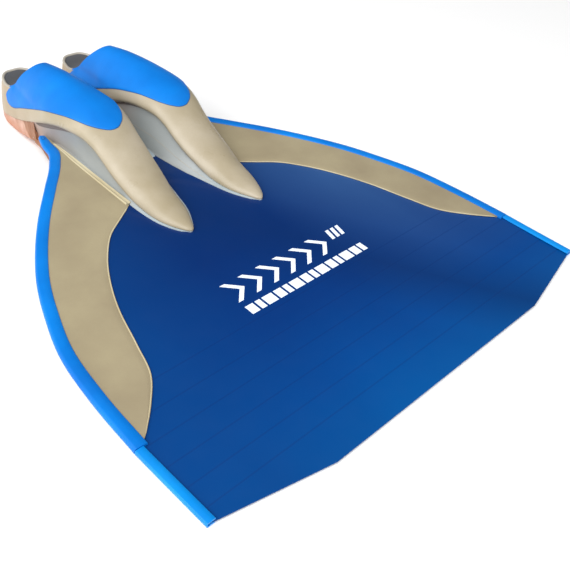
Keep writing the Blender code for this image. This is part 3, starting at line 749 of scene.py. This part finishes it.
def half_section(y, low, angles, inset=0.0, round_low=ROUND_LOW):
    """Points of the pocket's skin at each station: 0..pi is its top, pi..2 pi its underside."""
    y = np.atleast_1d(y)
    centre, half, widest, top = curve(STATIONS, y).T
    blunt = np.sqrt(1 - (1 - np.clip((y - NOSE_Y) / NOSE_ROUND, 0.03, 1)) ** 2)
    half, top = half * blunt, widest + (top - widest) * blunt
    angles = np.atleast_2d(angles)
    inset = np.broadcast_to(inset, np.broadcast_shapes((len(y), 1), angles.shape))
    half = np.maximum(half[:, None] - inset, 0.0006)
    up = np.maximum(top[:, None] - inset - widest[:, None], 0.0012)
    down = np.maximum(widest - low, 0.0012)[:, None]
    c, s = np.cos(angles), np.sin(angles)
    power = 2 / np.where(s >= -1e-9, ROUND_TOP, round_low)
    x = centre[:, None] + half * np.sign(c) * np.abs(c) ** power
    z = widest[:, None] + np.where(s >= 0, up, down) * np.sign(s) * np.abs(s) ** power
    points = np.dstack([x, np.repeat(y[:, None], x.shape[1], 1), z])
    push = np.clip(crease(points), 0, np.abs(x - centre[:, None]))
    points[..., 0] -= push * np.sign(x - centre[:, None])
    return points


def pulled_in(y, start, end):
    return y[0] + start + (y - y[0]) * (y[-1] - y[0] - start - end) / (y[-1] - y[0])


def add_fade(obj):
    """Stores how far each point is down the pocket's side, for the blend to grey and the painted
    shade there.
    """
    mesh = obj.data
    points = np.array([v.co for v in mesh.vertices]) + (0, ORIGIN_Y, 0)
    y = np.clip(points[:, 1], STATIONS[0][0], STATIONS[-1][0])
    widest = curve(STATIONS, y)[:, 2]
    share = np.clip((widest + 0.004 - points[:, 2]) / 0.013, 0, 1)
    strength = np.interp(y, (0.40, 0.50, 0.66, 0.72), (0.5, 1, 1, 0.1))
    share = share * share * (3 - 2 * share) * strength
    mesh.attributes.new("fade", "FLOAT", "POINT").data.foreach_set("value", share)


def roll_radius(y):
    """Radius of the cover's rolled-under edge: small at the nose and beside the heel cup."""
    _, half, widest, _ = curve(STATIONS, y).T
    most = np.interp(y, (0.655, 0.715), (ROLL, 0.0014))
    return np.clip(0.42 * (widest - blade_top(y)), 0.0003, np.minimum(most, 0.4 * half))


def with_roll(grid, y, thinner=0.0):
    """Adds the rolled-under lower edge to both sides of a grid of cover points."""
    radius = np.maximum(roll_radius(y) - thinner, 0.0002)[:, None]
    sides = []
    for turn in np.linspace(0, ROLL_TURN, 7)[1:]:
        sides.append(radius * np.array([[1 - cos(turn), 0, -sin(turn)]]))
    right = [grid[:, 0] + step * (-1, 1, 1) for step in sides]
    left = [grid[:, -1] + step for step in sides]
    return np.array([*right[::-1], *grid.transpose(1, 0, 2), *left]).transpose(1, 0, 2)


def upper_cover(side, paint):
    """Beige skin from the nose over the instep and round the heel."""
    y = np.unique(np.concatenate([station_rows(0.3665, 0.8512, 64), np.linspace(0.39, 0.83, 60)]))
    angles = np.linspace(0, pi, 57)
    outer = with_roll(half_section(y, 0.0, angles), y)
    y = pulled_in(y, SKIN_T, SKIN_T)
    inner = with_roll(half_section(y, 0.0, angles, SKIN_T), y, SKIN_T)
    obj = slab("pocket_cover", side, outer, inner, paint["cover"],
               ["upper_cover"], (True, True))  # fmt: skip
    add_fade(obj)
    return obj


def instep_panel(side, paint):
    """Blue overlay on the instep, standing proud of the cover with a rounded edge."""
    y = station_rows(PANEL_REACH[0][0], PANEL_REACH[-1][0], 110)
    reach = curve(PANEL_REACH, y)[:, 0] * pi / 180
    share = np.sin(np.linspace(-pi / 2, pi / 2, 61))
    angles = pi / 2 + reach[:, None] * share
    plan = half_section(y, 0.0, angles)
    gap = np.minimum(np.linalg.norm(plan - plan[:, :1], axis=2),
                     np.linalg.norm(plan - plan[:, -1:], axis=2))  # fmt: skip
    edge = np.clip(gap / PANEL_ROUND, 0, 1)
    lift = PANEL_LIFT * np.sqrt(1 - (1 - edge) ** 2) - 0.0003
    top, low = half_section(y, 0.0, angles, -lift), half_section(y, 0.0, angles, 0.0011)
    return slab("instep_panel", side, top, low, paint["panel"], ["instep_panel"])


def panel_outline(side, paint):
    """Thin dark line where the panel's edge meets the cover."""
    y = station_rows(PANEL_REACH[0][0], PANEL_REACH[-1][0], 150)
    reach = curve(PANEL_REACH, y)[:, 0] * pi / 180
    ends = half_section(y, 0.0, pi / 2 + reach[:, None] * np.array([1.0, -1.0]), -0.0001)
    cut = path(OPENING[:6] + PANEL_REAR, 300)
    cut = cut[np.argsort(cut[:, 0])]
    keep = ends[:, 0, 2] < np.interp(y, *cut.T) - 0.0002
    border = np.concatenate([ends[keep, 0][::-1], ends[keep, 1][1:]])
    tube("panel_outline", side, border, OUTLINE_R, paint["outline"])


def rim_curve(inset):
    """The edge of the ankle opening as a closed line round the foot."""
    line = path(OPENING, 500)
    y, z = line.T
    centre, half, widest, top = curve(STATIONS, y).T
    up = top - inset - widest
    keep = (z <= widest + up) & (y < 0.8514 - inset)
    y, z, centre, half, widest, up = (v[keep] for v in (y, z, centre, half - inset, widest, up))
    flat = np.clip(1 - ((z - widest) / up) ** ROUND_TOP, 0, 1) ** (1 / ROUND_TOP)
    out = np.column_stack([np.maximum(half, 0) * flat, y, z])
    out[:, 0] -= np.clip(crease(out), 0, out[:, 0])
    out[0, 0] = 0.0
    middle = np.column_stack([centre, 0 * y, 0 * y])
    loop = np.concatenate([middle + out, (middle + out * (-1, 1, 1))[::-1][:-1]])
    run = np.linalg.norm(np.roll(loop, -1, 0) - loop, axis=1)
    at = np.concatenate([[0], np.cumsum(run)])
    even = np.linspace(0, at[-1], 221)[:-1]
    ring = np.concatenate([loop, loop[:1]])
    return np.column_stack([np.interp(even, at, ring[:, k]) for k in range(3)])


def collar(side, paint):
    """Rolled edge of the ankle opening: blue where the panel reaches it, beige round the heel."""
    loop = rim_curve(RIM_INSET)
    front = int(np.argmax(loop[:, 2]))
    loop = np.roll(loop, -front, axis=0)
    for _ in range(6):
        loop = (np.roll(loop, 1, 0) + 2 * loop + np.roll(loop, -1, 0)) / 4
    heel = loop[:, 1] > 0.7985
    first, last = np.flatnonzero(heel)[[0, -1]]
    tube("heel_rim", side, loop[first - 1 : last + 2], RIM_R, paint["rim"])
    instep = np.concatenate([loop[last:], loop[: first + 1]])
    tube("instep_rim", side, instep, RIM_R, paint["panel"])


def sock_rings(thinner, count=70, size=56):
    y = station_rows(TOE_Y + thinner, 0.8495 - thinner, count)
    turn = np.linspace(0, 2 * pi, size, endpoint=False)
    sole = curve(SOLE, y)[:, 0] + thinner
    rings = half_section(y, sole, turn, SOCK_INSET + thinner)
    front = np.clip((y - y[0]) / 0.045, 0, 1)
    rear = np.clip((y[-1] - y) / 0.006, 0, 1)
    shrink = np.sqrt(1 - (1 - front) ** 2) * np.sqrt(1 - (1 - rear) ** 2)
    shrink = np.maximum(shrink, 0.12)[:, None, None]
    middle = (rings.max(axis=1) + rings.min(axis=1))[:, None] / 2
    return middle + (rings - middle) * (shrink * (1, 0, 1) + (0, 1, 0))


def foot_sock(side, paint):
    """Sock inside the pocket, seen through the ankle opening."""
    outer, inner = sock_rings(0.0), sock_rings(SOCK_T)
    faces = ring_faces(*outer.shape[:2])
    more = [[outer.shape[0] * outer.shape[1] + v for v in face[::-1]] for face in faces]
    verts = np.concatenate([outer.reshape(-1, 3), inner.reshape(-1, 3)])
    return piece(
        "foot_sock", side, verts, faces + more, paint["sock"], ["foot_sock"]
    )


def heel_cup(side, paint):
    """Natural latex under and round the heel, with a fold where it overlaps the skirt."""
    fold_rows = np.linspace(0.705, 0.76, 24)
    y = np.unique(np.concatenate([station_rows(CUP_FRONT_Y, 0.8508, 60), fold_rows]))
    inside = curve(SOLE, y)[:, 0] - 0.0042
    floor = np.minimum(curve(HEEL_FLOOR, y)[:, 0], inside - SKIN_T)
    angles = np.linspace(pi, 2 * pi, 61)
    outer = half_section(y, floor, angles, 0.0004, ROUND_BASE)
    inner = half_section(pulled_in(y, 0.0, SKIN_T), inside, angles, SKIN_T, ROUND_CUP)
    outer[..., 2] = np.maximum(outer[..., 2] - 0.0008, 0.0)
    slant = outer[..., 1] - 0.9 * outer[..., 2]
    pinch = 0.0018 * np.clip((0.711 - slant) / 0.004, 0, 1) + 0.0006 * np.sin(
        (slant - 0.66) / 0.0016
    ) * np.clip((0.708 - slant) / 0.006, 0, 1)
    middle = curve(STATIONS, y)[:, :1]
    outer[..., 0] -= pinch * np.clip((outer[..., 0] - middle) / 0.02, -1, 1)
    slab("heel_cup", side, outer, inner - (0, 0, 0.0012), paint["latex"],
         ["heel_cup"], (False, True))  # fmt: skip


def front_sole(side, paint):
    """Latex pad under the ball of the foot, from the blade's front edge to the heel cup."""
    y = np.linspace(BLADE_FRONT_Y + 0.0010, CUP_FRONT_Y + 0.004, 36)
    foot = np.array(SKIRT_FOOT)[-3:]
    low_x = np.interp(y, foot[:, 1], foot[:, 0])[:, None]
    high = np.interp(y, *np.array(PAD_EDGE).T)[:, None]
    across = np.sin(np.linspace(-pi / 2, pi / 2, 41))
    x = (high + low_x) / 2 + (high - low_x) / 2 * across
    yy = np.repeat(y[:, None], 41, 1)
    skirt_x = np.interp(y, [p[1] for p in SKIRT_FOOT[2::-1]], [p[0] for p in SKIRT_FOOT[2::-1]])
    edge_top = skirt_base(yy) - 0.9 * np.maximum(x - skirt_x[:, None], 0)
    under_plate = np.repeat(curve(SOLE, y), 41, 1) - 0.0045
    dip = np.clip((0.70 - np.abs(across)) / 0.2, 0, 1)
    top = edge_top - np.maximum(edge_top - under_plate, 0) * dip
    under = np.minimum(rise(yy) - BLADE_T / 2, edge_top)
    deep = np.maximum(under - curve(FRONT_FLOOR, y), 0.0006)
    low = under - 0.0004 - deep * (1 - np.abs(across) ** ROUND_BASE) ** (1 / ROUND_BASE)
    slab("front_sole", side, np.dstack([x, yy, top]), np.dstack([x, yy, low]), paint["latex"],
         ["front_sole"])  # fmt: skip


def skirt_base(y):
    """Height that the skirt stands on: the blade, then the sole pad that falls to the heel."""
    return np.where(y < 0.645, blade_top(y), np.minimum(blade_top(y), np.interp(
        y, (0.645, 0.675, 0.715), (0.0365, 0.0330, 0.0230))))  # fmt: skip


def skirt_rows():
    """Profiles of the skirt's outer face, from its flange on the blade up under the cover."""
    foot = path([(0.1052, 0.716), *SKIRT_FOOT, (0.0180, 0.716)], 210)
    turn = int(np.argmin(foot[:, 1]))
    y = np.maximum(foot[:, 1], 0.3668)
    centre, half, widest, _ = curve(STATIONS, y).T
    hand = np.where(np.arange(len(foot)) < turn, 1.0, -1.0)
    near_tip = np.clip(np.abs(np.arange(len(foot)) - turn) / 6, 0, 1)
    radius = roll_radius(y)
    tuck = np.minimum(0.80 * radius + 0.0006, half * 0.5)
    top = widest - 0.93 * radius
    snug = np.interp(foot[:, 1], *SNUG)
    foot[:, 0] += (centre + hand * near_tip * half - foot[:, 0]) * snug
    foot[:, 1] = np.maximum(foot[:, 1], 0.3668)
    ridge = np.column_stack([centre + hand * near_tip * (half - tuck), y, top])
    base = np.column_stack([foot, skirt_base(foot[:, 1]) + 0.0001])
    ridge[:, 2] = np.maximum(ridge[:, 2], base[:, 2] + 0.0012)
    inward = np.column_stack([offset(foot, -1.0) - foot, 0 * y])
    if (inward[0] * (-1, 0, 0)).sum() < 0:
        inward = -inward
    tall = (ridge[:, 2] - base[:, 2])[:, None]
    flange = np.clip(tall / 0.02, 0.1, 1)
    rows = [
        base + (0, 0, w) + inward * u * flange
        for u, w in ((0, 0), (0.0003, 0.0009), (0.0012, 0.0014), (0.0030, 0.0017))
    ]
    hollow = np.interp(y, (0.40, 0.52, 0.62, 0.70), (0.02, 0.20, 0.16, 0.03))[:, None]
    start = rows[-1]
    waist = 0.42 * start + 0.58 * ridge + inward * tall * hollow
    for t in np.linspace(0, 1, 18)[1:]:
        rows.append(start * (1 - t) ** 2 + waist * 2 * t * (1 - t) + ridge * t**2)
    return np.array(rows).transpose(1, 0, 2), inward


def skirt(side, paint):
    """Grey rubber wall from the cover's lower edge down to its flange on the blade."""
    outer, inward = skirt_rows()
    inner = outer + (inward * 0.0018)[:, None]
    obj = slab("skirt", side, outer, inner, paint["skirt"], ["skirt"])
    add_fade(obj)
    line = outer[130:188, 8] - inward[130:188] * 0.0001
    tube("mould_line", side, line, 0.0004, paint["rim"])


def centre_web(paint):
    """Grey saddle that joins the two skirts, with the small tab at its front."""
    y = np.linspace(0.546, 0.613, 40)
    reach = np.interp(y, [0.546, 0.583, 0.613], [0.0072, 0.0062, 0.0062])
    across = np.linspace(-1, 1, 25)
    x = reach[:, None] * across
    yy = np.repeat(y[:, None], 25, 1)
    low = blade_top(yy) + 0.0001
    front = np.sqrt(1 - (1 - np.clip((yy - y[0]) / 0.003, 0, 1)) ** 2)
    lift = (0.0022 + 0.10 * (yy - y[0])) * (0.72 + 0.28 * across**2) * front
    tab = 0.0042 * np.exp(-((x / 0.0016) ** 4) - ((yy - 0.5515) / 0.0026) ** 4)
    slab("web_saddle", 0, np.dstack([x, yy, low + lift + tab]), np.dstack([x, yy, low - 0.0001]),
         paint["skirt"], ["centre_web"])  # fmt: skip


def wedge_core(side, paint):
    """Foam under the ball of the foot, kept clear of the hollow in the skirt."""
    y = np.repeat(np.linspace(0.5455, 0.6118, 6)[:, None], 5, 1)
    x = np.repeat(np.linspace(0.0350, 0.0870, 5)[None], 6, 0)
    top = curve(SOLE, y[:, 0])[:, :1] - PLATE_UNDER + 0 * y
    slab("wedge_foam", side, np.dstack([x, y, top]), np.dstack([x, y, blade_top(y) + 0.0003]),
         paint["foam"], ["wedge_core"])  # fmt: skip


def hidden_parts(paint):
    """The cores in the noses, the plates and the insoles keep their CAD shapes."""
    for node, key in (("insole", "sock"), ("foot_plate", "plate"), ("nose_core", "foam")):
        for side in ("_left", "_right"):
            mesh = bpy.data.objects[node + side].data
            mesh.materials.clear()
            mesh.materials.append(paint[key])


# ---- studio ----

DIM_SIDE = (0.66, 0.60, 0.45)  # the studio is darkest this way, where the blade mirrors it


def aim(obj, target):
    obj.rotation_euler = (Vector(target) - obj.location).to_track_quat("-Z", "Y").to_euler()


def area_light(name, place, target, size, power):
    data = bpy.data.lights.new(name, "AREA")
    data.shape, data.size, data.size_y, data.energy = "RECTANGLE", size[0], size[1], power
    obj = bpy.data.objects.new(name, data)
    bpy.context.scene.collection.objects.link(obj)
    obj.location = place
    aim(obj, target)


def studio():
    floor = bpy.data.meshes.new("floor")
    far = 12.0
    corners = [(-far, -far, 0), (far, -far, 0), (far, far, 0), (-far, far, 0)]
    floor.from_pydata(corners, [], [(0, 1, 2, 3)])
    obj = bpy.data.objects.new("floor", floor)
    obj.location.z = -0.0002
    bpy.context.scene.collection.objects.link(obj)
    make = Nodes("floor_pale", 0.9)
    floor.materials.append(make.finish(make.mix(0.5, (0.96, 0.96, 0.96, 1), (0.97, 0.97, 0.97, 1))))
    world = bpy.data.worlds.new("studio")
    world.use_nodes = True
    tree = world.node_tree
    way = tree.nodes.new("ShaderNodeTexCoord").outputs["Generated"]
    toward = tree.nodes.new("ShaderNodeVectorMath")
    toward.operation = "DOT_PRODUCT"
    toward.inputs[1].default_value = DIM_SIDE
    level = tree.nodes.new("ShaderNodeMapRange")
    limits = {"From Min": 0.1, "From Max": 0.88, "To Min": 1.16, "To Max": 0.14}
    for socket, value in limits.items():
        level.inputs[socket].default_value = value
    tree.links.new(way, toward.inputs[0])
    tree.links.new(toward.outputs["Value"], level.inputs["Value"])
    tree.links.new(level.outputs["Result"], tree.nodes["Background"].inputs["Strength"])
    tree.nodes["Background"].inputs["Color"].default_value = (1, 1, 1, 1)
    bpy.context.scene.world = world
    area_light("key", (-1.7, -0.3, 2.0), (0, 0.1, 0), (2.4, 2.4), 66)


def camera():
    data = bpy.data.cameras.new("camera")
    data.sensor_width, data.lens, data.clip_start = 36.0, 49.2669, 0.01
    obj = bpy.data.objects.new("camera", data)
    bpy.context.scene.collection.objects.link(obj)
    right = (0.708303, -0.701278, 0.080720)
    up = (0.398882, 0.491954, 0.773870)
    back = (-0.582408, -0.515937, 0.628179)
    place = (-0.638352, -0.732673, 0.654575)
    rows = [(right[k], up[k], back[k], place[k]) for k in range(3)]
    obj.matrix_world = Matrix([*rows, (0, 0, 0, 1)])
    bpy.context.scene.camera = obj


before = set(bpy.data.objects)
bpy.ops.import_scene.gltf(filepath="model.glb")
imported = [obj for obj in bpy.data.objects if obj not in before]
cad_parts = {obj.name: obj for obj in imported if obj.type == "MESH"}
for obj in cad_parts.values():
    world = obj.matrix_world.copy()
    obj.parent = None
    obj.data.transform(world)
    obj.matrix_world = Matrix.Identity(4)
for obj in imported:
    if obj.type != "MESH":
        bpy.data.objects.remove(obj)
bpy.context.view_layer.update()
paint = materials()
blade(paint)
printed_marks(paint)
for side in (1, -1):
    edge_rail(side, paint)
    rail_dimple(side, paint)
    tip_rail(side, paint)
    wing(side, True, paint)
    wing(side, False, paint)
    seam_strip(side, paint)
    opening, panel_end = side_tool(side, OPENING), side_tool(side, OPENING[:6] + PANEL_REAR)
    baked(upper_cover(side, paint), opening)
    baked(foot_sock(side, paint), opening)
    baked(instep_panel(side, paint), panel_end)
    for tool in (opening, panel_end):
        bpy.data.objects.remove(tool, do_unlink=True)
    panel_outline(side, paint)
    collar(side, paint)
    heel_cup(side, paint)
    front_sole(side, paint)
    skirt(side, paint)
    wedge_core(side, paint)
centre_web(paint)
hidden_parts(paint)
camera()
studio()
bpy.context.scene.view_settings.view_transform = "Standard"
